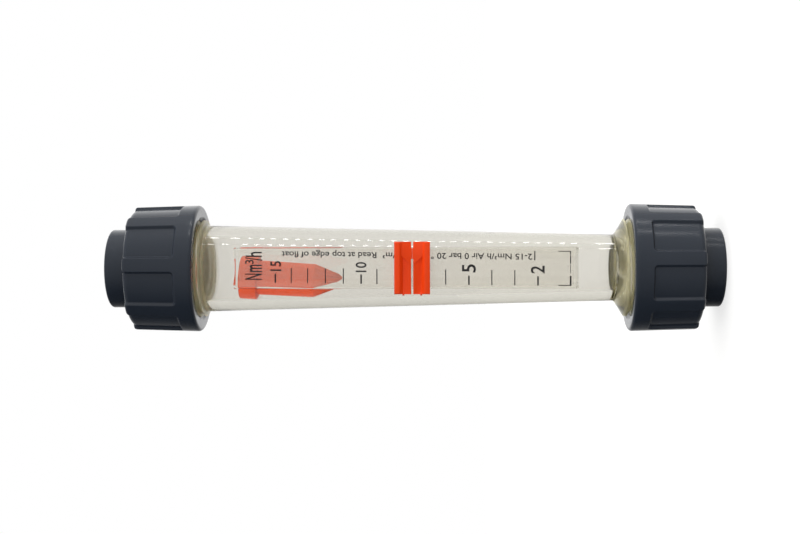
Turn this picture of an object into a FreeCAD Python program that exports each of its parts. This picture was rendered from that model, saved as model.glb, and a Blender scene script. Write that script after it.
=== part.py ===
"""Variable-area flow meter: a tapered clear tube with a float, between two threaded pipe unions.

Millimetres. +Z is the way the fluid flows, and the part stands on its inlet socket at Z = 0.
The scale faces -Y. Everything turned is centred on the Z axis.
"""
import FreeCAD, Part
import math
import os

Vec = FreeCAD.Vector

# ---- pipe and union ends ----
pipe_od = 20.0              # pipe that is cemented into each socket
socket_slack = 0.05         # between pipe and socket, on the radius
socket_depth = 16.0
socket_wall = 3.35
socket_chamfer = 0.8
flow_bore_d = 15.5          # waterway between socket and tube
union_reach = 19.0          # from the tube's gasket face to the end of the socket
union_collar_d = 29.9
union_collar_length = 5.5
face_gap = 0.15             # collar face to gasket face, taken up by the O-ring

# ---- O-ring, squeezed flat in its groove ----
ring_mean_d = 24.5
ring_cord = 3.0
ring_squeezed = 2.4
ring_side_gap = 0.1

# ---- union thread and nut ----
thread_d = 33.25            # G 1 pipe thread, crest diameter
thread_length = 13.6
thread_lead_in = 1.0
thread_gap = 0.1            # nut thread to tube thread, on the radius
nut_length = 23.4
nut_mouth_d = 43.4
nut_outer_d = 42.1
nut_engagement = 12.1       # how far the nut's mouth passes the gasket face
nut_lip_gap = 0.3           # nut lip to socket, on the radius
nut_seat_gap = 0.05         # nut lip to collar, along the axis
nut_edge_round = 1.2
nut_mouth_chamfer = 1.1
nut_band = 5.9              # plain band at the mouth, above the grip pockets
lobe_count = 8
lobe_angle = 12.5           # width of each lobe, in degrees
lower_lobe_phase = 8.2      # where the lower nut's first lobe lies, in degrees from +X
upper_lobe_phase = 3.2      # the same for the upper nut
pocket_depth = 1.0
pocket_round = 1.3
pocket_end_round = 2.0      # where the pocket's floor runs out over the nut's end
pocket_end_overrun = 0.15   # how far that round runs past the nut's end, to meet it at an angle

# ---- measuring tube ----
tube_length = 170.0         # gasket face to gasket face
tube_low_d = 22.6           # outside, above the lower flare
tube_high_d = 29.7          # outside, below the upper thread
flare_angle = 57.0          # of the cone behind each thread, from the axis
flare_round = 1.2
bore_low_d = 15.6
bore_high_d = 23.1
inlet_pocket_d = 20.8
inlet_pocket_depth = 10.0
outlet_pocket_d = 24.0
outlet_pocket_depth = 8.0

# ---- rail and scale film ----
rail_front = 15.0           # front face of the rail, from the axis
rail_width = 14.2
rail_lip_depth = 1.3        # depth of the dovetail lips
rail_undercut = 0.5         # how far each lip stands out over the neck
rail_length = 115.0
rail_top_offset = 25.0      # rail's upper end, below the upper gasket face
rail_end_run = 0.95         # how far each end of the rail slopes back, over the lip
film_length = 111.5
film_width = 12.6
film_thickness = 0.2
film_top_offset = 26.8      # film's upper end, below the upper gasket face

# ---- setpoint sliders ----
marker_length = 5.9         # along the rail, tip to back
marker_width = 17.4
marker_height = 2.5         # rail face to the top of the back band
marker_band = 1.75
marker_floor = 1.0
marker_tip_height = 1.7
marker_slope = 1.1          # run of the steep face in front of the band
marker_gap = 0.1            # slider to rail, all round
marker_tip_relief = 0.35
marker_tip_low = 3.0        # the tips touch between these two places across the rail
marker_tip_high = 6.6
marker_meet_offset = 84.9   # where the two tips meet, below the upper gasket face
marker_tip_gap = 0.1        # between the two tips
marker_bevel = 0.35
gate_mark_d = 0.7
gate_mark_length = 0.45

# ---- float ----
float_head_d = 16.5
float_head_length = 6.0
float_head_round = 0.8
float_neck_d = 12.9         # body, under the head
float_body_d = 12.1         # body, above the cone
float_body_length = 19.3
float_cone_length = 9.65
float_cone_tip_d = 2.6
float_seat_offset = 31.2    # lower rim of the head, below the upper gasket face
float_wall_gap = 0.15       # head to tube wall, where it leans on it
float_body_lift = 0.25      # how much further the body's lower rim stands off the wall
core_d = 9.0
core_length = 18.6
core_gap = 0.05
plug_d = 10.4
plug_length = 2.2

# ---- float stops ----
stop_fit = 0.05             # stop to pocket, on the radius
stop_length = 5.0
stop_ring_wall = 1.6
stop_spokes = 3
stop_spoke_width = 1.8
stop_hub_d = 4.6
stop_hub_reach = 1.2        # hub past the ring, towards the float

# ---- places along the axis ----
gasket_low = union_reach
gasket_high = gasket_low + tube_length
total_length = gasket_high + union_reach
thread_r = thread_d / 2.0
tube_low_r = tube_low_d / 2.0
tube_high_r = tube_high_d / 2.0
flare_slope = math.tan(math.radians(flare_angle))
thread_low_end = gasket_low + thread_length
thread_high_end = gasket_high - thread_length
flare_low_end = thread_low_end + (thread_r - tube_low_r) / flare_slope
flare_high_end = thread_high_end - (thread_r - tube_high_r) / flare_slope
bore_start = gasket_low + inlet_pocket_depth
bore_end = gasket_high - outlet_pocket_depth
bore_slope = (bore_high_d - bore_low_d) / 2.0 / (bore_end - bore_start)
socket_r = pipe_od / 2.0 + socket_slack
socket_outer_r = socket_r + socket_wall
collar_bottom = union_reach - face_gap - union_collar_length
marker_meet = gasket_high - marker_meet_offset
marker_front = rail_front + marker_height
rail_high_end = gasket_high - rail_top_offset
rail_low_end = rail_high_end - rail_length


def turned(points):
    """Solid of revolution about Z from a closed (radius, height) outline."""
    corners = [Vec(radius, 0, height) for radius, height in points]
    face = Part.Face(Part.makePolygon(corners + corners[:1]))
    return face.revolve(Vec(0, 0, 0), Vec(0, 0, 1), 360)


def extruded(corners, direction):
    """Prism from a closed polygon of vectors."""
    face = Part.Face(Part.makePolygon(corners + corners[:1]))
    return face.extrude(direction)


def rims(shape, radius, height):
    """Round edges about Z with this radius, at this height."""
    found = []
    for edge in shape.Edges:
        curve = edge.Curve
        if not isinstance(curve, Part.Circle):
            continue
        same_radius = abs(curve.Radius - radius) < 0.01
        same_height = abs(curve.Center.z - height) < 0.01
        if same_radius and same_height and math.hypot(curve.Center.x, curve.Center.y) < 0.01:
            found.append(edge)
    return found


def turned_over(shape):
    """The same piece for the other end of the meter, with its handedness about X kept."""
    flipped = shape.copy()
    flipped.rotate(Vec(0, 0, total_length / 2.0), Vec(1, 0, 0), 180)
    return flipped


def bore_radius(height):
    """Inside radius of the measuring tube."""
    return bore_low_d / 2.0 + bore_slope * (height - bore_start)


# ---- measuring tube ----

def tube_outside():
    """Threaded collars, flares and the long outer taper, as one solid."""
    body = turned([
        (0, gasket_low),
        (thread_r - thread_lead_in, gasket_low),
        (thread_r, gasket_low + thread_lead_in),
        (thread_r, thread_low_end),
        (tube_low_r, flare_low_end),
        (tube_high_r, flare_high_end),
        (thread_r, thread_high_end),
        (thread_r, gasket_high - thread_lead_in),
        (thread_r - thread_lead_in, gasket_high),
        (0, gasket_high),
    ])
    return body.makeFillet(flare_round, rims(body, tube_low_r, flare_low_end))


def rail():
    """Dovetail rail with parallel faces and sloped ends, short of both flares so sliders go on."""
    front = rail_width / 2.0
    neck = front - rail_undercut
    lip_back = rail_front - rail_lip_depth
    root = tube_low_r / 2.0
    outline = [
        (-front, -rail_front), (front, -rail_front),
        (neck, -lip_back), (neck, -root),
        (-neck, -root), (-neck, -lip_back),
    ]
    bar = extruded([Vec(x, y, rail_low_end) for x, y in outline], Vec(0, 0, rail_length))
    side = [
        (root, rail_low_end), (lip_back, rail_low_end), (rail_front, rail_low_end + rail_end_run),
        (rail_front, rail_high_end - rail_end_run), (lip_back, rail_high_end), (root, rail_high_end),
    ]
    corners = [Vec(-front, -depth, height) for depth, height in side]
    return bar.common(extruded(corners, Vec(rail_width, 0, 0)))


def waterway():
    """What is taken out of the tube: inlet pocket, measuring bore and outlet pocket."""
    past = 1.0
    return turned([
        (0, gasket_low - past),
        (inlet_pocket_d / 2.0, gasket_low - past),
        (inlet_pocket_d / 2.0, bore_start),
        (bore_low_d / 2.0, bore_start),
        (bore_high_d / 2.0, bore_end),
        (outlet_pocket_d / 2.0, bore_end),
        (outlet_pocket_d / 2.0, gasket_high + past),
        (0, gasket_high + past),
    ])


def film_blank():
    """The printed film, and the recess it lies in."""
    bottom = gasket_high - film_top_offset - film_length
    corner = Vec(-film_width / 2.0, -rail_front, bottom)
    return Part.makeBox(film_width, film_thickness, film_length, corner)


def measuring_tube():
    body = tube_outside().fuse(rail()).cut(waterway())
    return body.cut(film_blank()).removeSplitter()


# ---- setpoint sliders ----

def marker_plate():
    """Plate over the rail: back band, steep face, floor that rises to the tip edge."""
    back = marker_length
    band_start = back - marker_band
    floor_start = band_start - marker_slope
    under = rail_front + marker_gap
    section = [
        (marker_tip_gap / 2.0, under), (marker_tip_gap / 2.0, rail_front + marker_tip_height),
        (floor_start, rail_front + marker_floor), (band_start, marker_front),
        (back, marker_front), (back, under),
    ]
    corners = [Vec(-marker_width / 2.0, -depth, height) for height, depth in section]
    return extruded(corners, Vec(marker_width, 0, 0))


def marker_pointer():
    """Raised field whose lower edge runs down to the tip, towards the ticks."""
    band_start = marker_length - marker_band
    top = rail_front + marker_tip_height
    outline = [
        (marker_width / 2.0, marker_tip_gap / 2.0), (marker_tip_low / 4.0, marker_tip_gap / 2.0),
        (marker_tip_low * 1.5, band_start), (marker_width / 2.0, band_start),
    ]
    corners = [Vec(x, -top, height) for x, height in outline]
    return extruded(corners, Vec(0, marker_tip_height - marker_gap, 0))


def marker_leg(side):
    """Leg that grips one dovetail lip of the rail."""
    outer = marker_width / 2.0
    lip = rail_width / 2.0 + marker_gap
    lip_back = rail_front - rail_lip_depth
    hook = lip - rail_undercut
    outline = [
        (outer, -marker_front + marker_floor), (lip, -rail_front - marker_gap),
        (lip, -rail_front), (hook, -lip_back), (outer, -lip_back),
    ]
    corners = [Vec(side * x, y, marker_tip_relief) for x, y in outline]
    return extruded(corners, Vec(0, 0, marker_length - marker_tip_relief))


def tip_relief():
    """What is cut back from the tip edge, either side of the touching tip."""
    reach = marker_width
    deep = marker_height * 2.0
    corner_y = -marker_front - 1.0
    low = Part.makeBox(marker_tip_low + reach, deep, marker_tip_relief, Vec(-reach, corner_y, 0))
    high = Part.makeBox(reach, deep, marker_tip_relief, Vec(marker_tip_high, corner_y, 0))
    return low.fuse(high)


def marker():
    """Slider with its tip at height 0, facing down the rail."""
    plate = marker_plate().fuse([marker_pointer(), marker_leg(1), marker_leg(-1)])
    plate = plate.removeSplitter().cut(tip_relief())
    ends = [edge for edge in plate.Edges if on_band_end(edge)]
    plate = plate.makeChamfer(marker_bevel, ends)
    gate_z = marker_length / 2.0
    gate_y = -rail_front + marker_gap
    gate = Part.makeCylinder(gate_mark_d / 2.0, gate_mark_length + marker_gap,
                             Vec(-marker_width / 2.0 + marker_gap, gate_y, gate_z), Vec(-1, 0, 0))
    return plate.fuse(gate).removeSplitter()


def on_band_end(edge):
    """True for the short edges across the back band at its two ends."""
    box = edge.BoundBox
    at_front = abs(box.YMin + marker_front) < 0.01 and box.YLength < 0.01
    return at_front and box.XLength < 0.01 and abs(abs(box.XMin) - marker_width / 2.0) < 0.01


def upper_marker():
    return marker().translated(Vec(0, 0, marker_meet))


def lower_marker():
    """The same moulding mirrored across the rail's length, as the pair is sold."""
    low = marker().mirror(Vec(0, 0, 0), Vec(0, 0, 1))
    return low.translated(Vec(0, 0, marker_meet))


# ---- float ----

def lean(shape):
    """Move a float piece from its own axis to where the float leans on the tube's -X wall.

    The head's lower rim is nearest to the wall, and the body's lower rim next.
    """
    rim_step = (float_head_d - float_body_d) / 2.0 - float_body_lift
    rim_angle = math.atan2(rim_step, float_body_length)
    tilt = rim_angle - math.atan(bore_slope)
    seat = gasket_high - float_seat_offset
    head_r = float_head_d / 2.0
    centre_x = -(bore_radius(seat) - float_wall_gap) + head_r * math.cos(tilt)
    centre_z = seat - head_r * math.sin(tilt)
    leaning = shape.copy()
    leaning.rotate(Vec(0, 0, 0), Vec(0, 1, 0), math.degrees(tilt))
    return leaning.translated(Vec(centre_x, 0, centre_z))


def float_body():
    """Head, body and cone in one, bored from the top for the core and the plug."""
    head_r = float_head_d / 2.0
    body_r = float_body_d / 2.0
    tip_r = float_cone_tip_d / 2.0
    cone_end = -float_body_length - float_cone_length
    solid = turned([
        (0, cone_end), (tip_r, cone_end), (body_r, -float_body_length), (float_neck_d / 2.0, 0),
        (head_r, 0), (head_r, float_head_length), (0, float_head_length),
    ])
    solid = solid.makeFillet(float_head_round, rims(solid, head_r, float_head_length))
    core_bottom = float_head_length - plug_length - core_length - core_gap
    hollow = Part.makeCylinder(core_d / 2.0 + core_gap, core_length + core_gap, Vec(0, 0, core_bottom))
    seat = Part.makeCylinder(plug_d / 2.0, plug_length, Vec(0, 0, float_head_length - plug_length))
    return lean(solid.cut(hollow.fuse(seat)))


def float_core():
    bottom = float_head_length - plug_length - core_length
    return lean(Part.makeCylinder(core_d / 2.0, core_length, Vec(0, 0, bottom)))


def float_plug():
    """Disc that closes the float, flush with the head's top."""
    bottom = float_head_length - plug_length
    return lean(Part.makeCylinder(plug_d / 2.0, plug_length, Vec(0, 0, bottom)))


# ---- float stops ----

def spoked_stop(outer_r):
    """Ring with spokes and a hub, standing on height 0, with the hub reaching upwards."""
    inner_r = outer_r - stop_ring_wall
    ring = turned([(inner_r, 0), (outer_r, 0), (outer_r, stop_length), (inner_r, stop_length)])
    hub = Part.makeCylinder(stop_hub_d / 2.0, stop_length + stop_hub_reach)
    hub = hub.makeFillet(stop_hub_d / 6.0, rims(hub, stop_hub_d / 2.0, stop_length + stop_hub_reach))
    spokes = []
    for index in range(stop_spokes):
        corner = Vec(0, -stop_spoke_width / 2.0, 0)
        spoke = Part.makeBox(inner_r + stop_ring_wall / 2.0, stop_spoke_width, stop_length, corner)
        spoke.rotate(Vec(0, 0, 0), Vec(0, 0, 1), 360.0 / stop_spokes * index)
        spokes.append(spoke)
    return ring.fuse([hub] + spokes).removeSplitter()


def lower_stop():
    stop = spoked_stop(inlet_pocket_d / 2.0 - stop_fit)
    return stop.translated(Vec(0, 0, bore_start - stop_length))


def upper_stop():
    stop = spoked_stop(outlet_pocket_d / 2.0 - stop_fit)
    stop.rotate(Vec(0, 0, 0), Vec(1, 0, 0), 180)
    return stop.translated(Vec(0, 0, bore_end + stop_length))


# ---- unions ----

def lower_union_end():
    """Pipe socket with the collar that the nut pulls on, and the O-ring groove."""
    collar_r = union_collar_d / 2.0
    collar_face = union_reach - face_gap
    groove_half = squeezed_width() / 2.0 + ring_side_gap
    groove_floor = union_reach - ring_squeezed
    ring_r = ring_mean_d / 2.0
    body = turned([
        (socket_r + socket_chamfer, 0), (socket_outer_r, 0),
        (socket_outer_r, collar_bottom), (collar_r, collar_bottom),
        (collar_r, collar_face), (ring_r + groove_half, collar_face),
        (ring_r + groove_half, groove_floor), (ring_r - groove_half, groove_floor),
        (ring_r - groove_half, collar_face), (flow_bore_d / 2.0, collar_face),
        (flow_bore_d / 2.0, socket_depth), (socket_r, socket_depth),
        (socket_r, socket_chamfer),
    ])
    return body.makeFillet(socket_chamfer, rims(body, socket_outer_r, 0))


def squeezed_width():
    """Width of the O-ring's section once it is pressed flat, with its area kept."""
    area = math.pi * (ring_cord / 2.0) ** 2
    round_ends = math.pi * (ring_squeezed / 2.0) ** 2
    return ring_squeezed + (area - round_ends) / ring_squeezed


def lower_o_ring():
    """Ring with a flattened section, between its groove and the tube's gasket face."""
    half = squeezed_width() / 2.0
    ring_r = ring_mean_d / 2.0
    blank = turned([
        (ring_r - half, union_reach - ring_squeezed), (ring_r + half, union_reach - ring_squeezed),
        (ring_r + half, union_reach), (ring_r - half, union_reach),
    ])
    corner_round = ring_squeezed * 0.45
    return blank.makeFillet(corner_round, blank_rims(blank))


def blank_rims(shape):
    """All round edges of a ring."""
    return [edge for edge in shape.Edges if isinstance(edge.Curve, Part.Circle)]


def nut_blank():
    """Turned form of the nut, outside and inside, before the grip pockets."""
    top = gasket_low + nut_engagement
    bottom = top - nut_length
    outer_r = nut_outer_d / 2.0
    mouth_r = nut_mouth_d / 2.0
    thread_bore = thread_r + thread_gap
    lip_r = socket_outer_r + nut_lip_gap
    seat = collar_bottom - nut_seat_gap
    blank = turned([
        (lip_r, bottom), (outer_r, bottom), (mouth_r, top),
        (thread_bore + nut_mouth_chamfer, top), (thread_bore, top - nut_mouth_chamfer),
        (thread_bore, seat), (lip_r, seat),
    ])
    edges = rims(blank, outer_r, bottom) + rims(blank, mouth_r, top)
    return blank.makeFillet(nut_edge_round, edges)


def grip_pocket():
    """One shallow pocket, centred on +X, whose floor rounds off into the nut's socket end."""
    top = gasket_low + nut_engagement - nut_band
    nut_end = gasket_low + nut_engagement - nut_length
    bottom = nut_end - nut_edge_round
    low_r = nut_outer_d / 2.0 - pocket_depth
    draft = (nut_mouth_d - nut_outer_d) / 2.0 / nut_length
    high_r = low_r + draft * (top - nut_end)
    outside = nut_mouth_d / 2.0 + pocket_depth
    sector = 360.0 / lobe_count - lobe_angle
    turn_r = low_r - pocket_end_round
    turn_z = nut_end + pocket_end_round - pocket_end_overrun
    bend = pocket_end_round * math.sqrt(0.5)
    floor_end = Vec(low_r, 0, turn_z)
    run_out = Vec(turn_r, 0, turn_z - pocket_end_round)
    middle = Vec(turn_r + bend, 0, turn_z - bend)
    corners = [floor_end, Vec(high_r, 0, top), Vec(outside, 0, top), Vec(outside, 0, bottom),
               Vec(turn_r, 0, bottom), run_out]
    outline = [Part.makePolygon(corners), Part.Arc(run_out, middle, floor_end).toShape()]
    face = Part.Face(Part.Wire(outline))
    pocket = face.revolve(Vec(0, 0, 0), Vec(0, 0, 1), sector)
    pocket.rotate(Vec(0, 0, 0), Vec(0, 0, 1), -sector / 2.0)
    inner = [edge for edge in pocket.Edges if on_pocket_floor(edge, top)]
    return pocket.makeFillet(pocket_round, inner)


def on_pocket_floor(edge, top):
    """True for the pocket's radial corner edges at its closed end."""
    box = edge.BoundBox
    radial = box.ZLength < 0.01 and box.XLength > pocket_depth / 2.0
    at_top = abs(box.ZMax - top) < 0.01
    return radial and at_top and isinstance(edge.Curve, Part.Line)


def lower_union_nut():
    nut = nut_blank()
    pitch = 360.0 / lobe_count
    for index in range(lobe_count):
        pocket = grip_pocket()
        pocket.rotate(Vec(0, 0, 0), Vec(0, 0, 1), lower_lobe_phase + pitch * (index + 0.5))
        nut = nut.cut(pocket)
    return nut.removeSplitter()


def upper_union_nut():
    """The same nut turned over, and screwed to where its own lobes came to stand."""
    nut = turned_over(lower_union_nut())
    nut.rotate(Vec(0, 0, 0), Vec(0, 0, 1), lower_lobe_phase + upper_lobe_phase)
    return nut


def upper_union_end():
    return turned_over(lower_union_end())


def upper_o_ring():
    return turned_over(lower_o_ring())


nodes = {
    "measuring_tube": measuring_tube,
    "scale_film": film_blank,
    "upper_marker": upper_marker,
    "lower_marker": lower_marker,
    "float_body": float_body,
    "float_core": float_core,
    "float_plug": float_plug,
    "upper_stop": upper_stop,
    "lower_stop": lower_stop,
    "upper_o_ring": upper_o_ring,
    "lower_o_ring": lower_o_ring,
    "upper_union_end": upper_union_end,
    "lower_union_end": lower_union_end,
    "upper_union_nut": upper_union_nut,
    "lower_union_nut": lower_union_nut,
}

os.makedirs("parts", exist_ok=True)
for name, make in nodes.items():
    shape = make()
    print(name, "valid", shape.isValid(), "solids", len(shape.Solids), "volume %.1f" % shape.Volume)
    shape.exportStep("parts/" + name + ".step")
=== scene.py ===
import math

import bmesh
import bpy
import numpy as np
from mathutils import Matrix, Vector


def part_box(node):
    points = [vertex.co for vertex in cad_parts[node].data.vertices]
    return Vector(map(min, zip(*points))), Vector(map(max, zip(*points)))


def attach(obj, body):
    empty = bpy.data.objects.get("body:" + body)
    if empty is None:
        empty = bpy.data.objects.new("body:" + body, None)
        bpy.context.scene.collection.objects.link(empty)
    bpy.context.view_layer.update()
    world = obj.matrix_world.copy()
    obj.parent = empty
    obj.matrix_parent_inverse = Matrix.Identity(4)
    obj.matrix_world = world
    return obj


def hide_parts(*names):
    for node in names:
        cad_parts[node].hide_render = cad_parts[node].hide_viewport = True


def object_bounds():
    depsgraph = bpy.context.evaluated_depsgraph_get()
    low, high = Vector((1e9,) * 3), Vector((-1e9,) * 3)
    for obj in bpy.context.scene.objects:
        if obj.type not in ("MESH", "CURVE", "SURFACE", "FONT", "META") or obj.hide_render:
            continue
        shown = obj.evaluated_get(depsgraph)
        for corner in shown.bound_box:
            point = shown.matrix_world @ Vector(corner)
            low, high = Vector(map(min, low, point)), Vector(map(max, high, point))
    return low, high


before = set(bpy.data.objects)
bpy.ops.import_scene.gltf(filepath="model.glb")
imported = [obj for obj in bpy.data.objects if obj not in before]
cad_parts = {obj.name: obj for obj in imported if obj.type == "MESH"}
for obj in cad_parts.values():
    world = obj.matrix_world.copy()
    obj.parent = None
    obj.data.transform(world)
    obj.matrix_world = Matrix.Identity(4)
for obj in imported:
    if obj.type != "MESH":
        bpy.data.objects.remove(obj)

bl_info = {
    "name": "Rotameter with threaded unions",
    "version": (1, 0, 0),
    "blender": (4, 5, 0),
    "location": "View3D > Sidebar > Rotameter",
    "description": "Dresses the packed flow meter: tube, scale, sliders, float, unions and stage",
    "category": "Object",
}

MM = 0.001  # all shapes below are worked out in millimetres
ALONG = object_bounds()[1][2] / MM  # socket end to socket end
GASKET = 19.0  # height of the tube's lower gasket face
THREAD_END = 32.6  # where the lower thread runs out into the flare
CREST_TO_NUT = 0.1  # nut thread to tube thread, on the radius
TINY = 1e-6  # lengths closer than this count as equal
WELD = 1e-7  # metres; corners closer than this are joined


# ---- sizes and colours that can be changed in the sidebar ----

class TubeSettings(bpy.types.PropertyGroup):
    crest_radius: bpy.props.FloatProperty(
        name="Thread crest radius", description="Outside of the union thread on the tube",
        default=0.016625, unit="LENGTH")
    thread_depth: bpy.props.FloatProperty(
        name="Thread depth", description="From crest to root of the union thread",
        default=0.001479, unit="LENGTH")
    thread_pitch: bpy.props.FloatProperty(
        name="Thread pitch", description="Distance between two crests",
        default=0.002309, unit="LENGTH")
    low_radius: bpy.props.FloatProperty(
        name="Narrow end radius", description="Outside of the tube above the lower flare",
        default=0.0113, unit="LENGTH")
    high_radius: bpy.props.FloatProperty(
        name="Wide end radius", description="Outside of the tube below the upper thread",
        default=0.01485, unit="LENGTH")
    thread_roughness: bpy.props.FloatProperty(
        name="Thread roughness", description="Roughness that the threads add to the clear plastic",
        default=0.16)
    frost: bpy.props.StringProperty(
        name="Frost", description="Colour of the light that the dull threads spread, sRGB hex",
        default="F6F0C8")
    tint: bpy.props.StringProperty(
        name="Tint", description="Colour that the clear plastic gives light at each face, sRGB hex",
        default="F6F5F4")
    depth_tint: bpy.props.StringProperty(
        name="Depth tint", description="Colour that thick plastic tends to, sRGB hex",
        default="BFBA9A")


class ScaleSettings(bpy.types.PropertyGroup):
    ink: bpy.props.StringProperty(
        name="Ink", description="Colour of the printed scale, sRGB hex", default="1B1A1C")
    tick_width: bpy.props.FloatProperty(
        name="Tick width", description="Width of the thin ticks", default=0.00034, unit="LENGTH")
    figure_tick_width: bpy.props.FloatProperty(
        name="Figured tick width", description="Width of the thick ticks beside figures",
        default=0.00052, unit="LENGTH")
    ink_height: bpy.props.FloatProperty(
        name="Ink thickness", description="How far the ink stands on the film",
        default=0.00002, unit="LENGTH")


class SliderSettings(bpy.types.PropertyGroup):
    colour: bpy.props.StringProperty(
        name="Colour", description="Colour of the setpoint sliders, sRGB hex", default="FF4606")
    edge_round: bpy.props.FloatProperty(
        name="Edge rounding", description="Width of the rounding that the mould leaves on edges",
        default=0.00012, unit="LENGTH")


class FloatSettings(bpy.types.PropertyGroup):
    colour: bpy.props.StringProperty(
        name="Colour", description="Colour of the float, sRGB hex", default="FF5208")
    stop_colour: bpy.props.StringProperty(
        name="Stop colour", description="Colour of the spoked float stops, sRGB hex",
        default="D9D8D2")
    edge_round: bpy.props.FloatProperty(
        name="Edge rounding", description="Width of the broken edges of the float",
        default=0.0001, unit="LENGTH")


class UnionSettings(bpy.types.PropertyGroup):
    colour: bpy.props.StringProperty(
        name="Colour", description="Colour of nuts and sockets, sRGB hex", default="29303B")
    pocket_depth: bpy.props.FloatProperty(
        name="Pocket depth", description="Depth of the grip pockets in the nuts",
        default=0.001, unit="LENGTH")
    pocket_wall: bpy.props.FloatProperty(
        name="Pocket wall", description="Width of the sloping wall round each pocket",
        default=0.0008, unit="LENGTH")
    pocket_corner: bpy.props.FloatProperty(
        name="Pocket corner", description="Corner radius of each pocket",
        default=0.0014, unit="LENGTH")


class StageSettings(bpy.types.PropertyGroup):
    camera_place: bpy.props.FloatVectorProperty(
        name="Camera place", description="Where the camera stands", size=3,
        default=(0.00033, -0.45764, 0.09101), subtype="XYZ", unit="LENGTH")
    camera_turn: bpy.props.FloatProperty(
        name="Camera turn", description="Turn of the view about the meter's cross axis",
        default=math.radians(2.22), subtype="ANGLE")
    camera_roll: bpy.props.FloatProperty(
        name="Camera roll", description="Small roll of the view",
        default=math.radians(0.14), subtype="ANGLE")
    lens: bpy.props.FloatProperty(
        name="Lens", description="Focal length", default=60.04, unit="CAMERA")
    strip_glow: bpy.props.FloatProperty(
        name="Lamp strips", description="Brightness of the two strips of small lamps", default=14.0)
    floor_width: bpy.props.FloatProperty(
        name="Floor width", description="Side of the floor", default=6.0, unit="LENGTH")


# ---- mesh helpers ----

LOOK_AHEAD = 1.3  # stepped() shortens its steps this far before they have to be short
LEVEL_RUN = 0.5  # it doesn't look ahead along runs that climb less than this
SHORTEST = 0.05  # and leaves no shorter step than this at the end


def rounded(corners, radii, steps=6):
    """Open outline of (radius, height) with its inner corners rounded by these radii."""
    points = [corners[0]]
    for before, corner, after, radius in zip(corners, corners[1:], corners[2:], radii):
        if radius == 0:
            points.append(corner)
            continue
        here = np.array(corner, float)
        back = np.array(before, float) - here
        ahead = np.array(after, float) - here
        back /= np.linalg.norm(back)
        ahead /= np.linalg.norm(ahead)
        half = math.acos(max(-1.0, min(1.0, float(back @ ahead)))) / 2
        reach = radius / math.tan(half)
        middle = back + ahead
        centre = here + middle / np.linalg.norm(middle) * radius / math.sin(half)
        start, end = here + back * reach - centre, here + ahead * reach - centre
        sweep = math.pi - 2 * half
        for step in range(steps + 1):
            share = step / steps
            arm = math.sin((1 - share) * sweep) * start + math.sin(share * sweep) * end
            points.append(tuple(centre + arm / math.sin(sweep)))
    points.append(corners[-1])
    return points


def between(start, end, share):
    """The point this share of the way from start to end."""
    return start[0] + (end[0] - start[0]) * share, start[1] + (end[1] - start[1]) * share


def divided(points, longest):
    """The outline with no run longer than longest(height)."""
    full = [points[0]]
    for start, end in zip(points, points[1:]):
        run = math.dist(start, end)
        count = max(1, math.ceil(run / longest((start[1] + end[1]) / 2) - TINY))
        full += [between(start, end, step / count) for step in range(1, count + 1)]
    return full


def stepped(start, end, longest):
    """Points after start up to end, spaced by longest(height) as it changes along the run."""
    run = math.dist(start, end)
    points, done = [], 0.0
    while run - done > TINY:
        height = between(start, end, done / run)[1]
        ahead = between(start, end, min(1.0, (done + LOOK_AHEAD) / run))[1]
        step = min(longest(height), run - done)
        if abs(ahead - height) > LEVEL_RUN:
            step = min(step, longest(ahead))
        done = run if run - done - step < SHORTEST else done + step
        points.append(between(start, end, done / run))
    return points


def soft_step(value):
    """0 below 0, 1 above 1, and smooth between."""
    value = np.clip(value, 0, 1)
    return value * value * (3 - 2 * value)


def turned(outline, angles):
    """Heights of an outline's points, and their radii repeated at every angle."""
    heights = np.array([height for radius, height in outline])
    radii = np.array([radius for radius, height in outline])
    return heights, np.repeat(radii[:, None], len(angles), 1)


def ring_mesh(name, radii, heights, angles):
    """Closed surface through rings: radii[row, angle] at heights[row], last row joined to first."""
    rows, columns = radii.shape
    points = np.empty((rows, columns, 3))
    points[..., 0] = radii * np.cos(angles)
    points[..., 1] = radii * np.sin(angles)
    points[..., 2] = heights[:, None]
    row, column = np.meshgrid(np.arange(rows), np.arange(columns), indexing="ij")
    next_row, next_column = (row + 1) % rows, (column + 1) % columns
    faces = np.stack([row * columns + column, row * columns + next_column,
                      next_row * columns + next_column, next_row * columns + column], -1)
    mesh = bpy.data.meshes.new(name)
    mesh.from_pydata((points.reshape(-1, 3) * MM).tolist(), [], faces.reshape(-1, 4).tolist())
    work = bmesh.new()
    work.from_mesh(mesh)
    bmesh.ops.recalc_face_normals(work, faces=work.faces)
    work.to_mesh(mesh)
    work.free()
    return mesh


def loft_mesh(name, first, second):
    """Solid between two closed loops of (x, y, z) with the same number of corners."""
    count = len(first)
    points = [(x * MM, y * MM, z * MM) for x, y, z in first + second]
    sides = [(i, (i + 1) % count, count + (i + 1) % count, count + i) for i in range(count)]
    ends = [tuple(range(count))[::-1], tuple(range(count, 2 * count))]
    mesh = bpy.data.meshes.new(name)
    mesh.from_pydata(points, [], sides + ends)
    return mesh


def placed(name, mesh):
    """A new object for this mesh, camera or text, in the scene."""
    piece = bpy.data.objects.new(name, mesh)
    bpy.context.scene.collection.objects.link(piece)
    return piece


def evaluated_mesh(piece):
    """A new mesh of what the piece looks like with its modifiers or its text filled in."""
    depsgraph = bpy.context.evaluated_depsgraph_get()
    return bpy.data.meshes.new_from_object(piece.evaluated_get(depsgraph))


def carved(piece, other, operation):
    """Joins the other solid to the piece or keeps what both share, and removes the other."""
    modifier = piece.modifiers.new("carve", "BOOLEAN")
    modifier.operation = operation
    modifier.solver = "EXACT"
    modifier.object = other
    result = evaluated_mesh(piece)
    piece.modifiers.clear()
    result.name = piece.data.name + "_carved"
    piece.data = result
    bpy.data.objects.remove(other)


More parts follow.
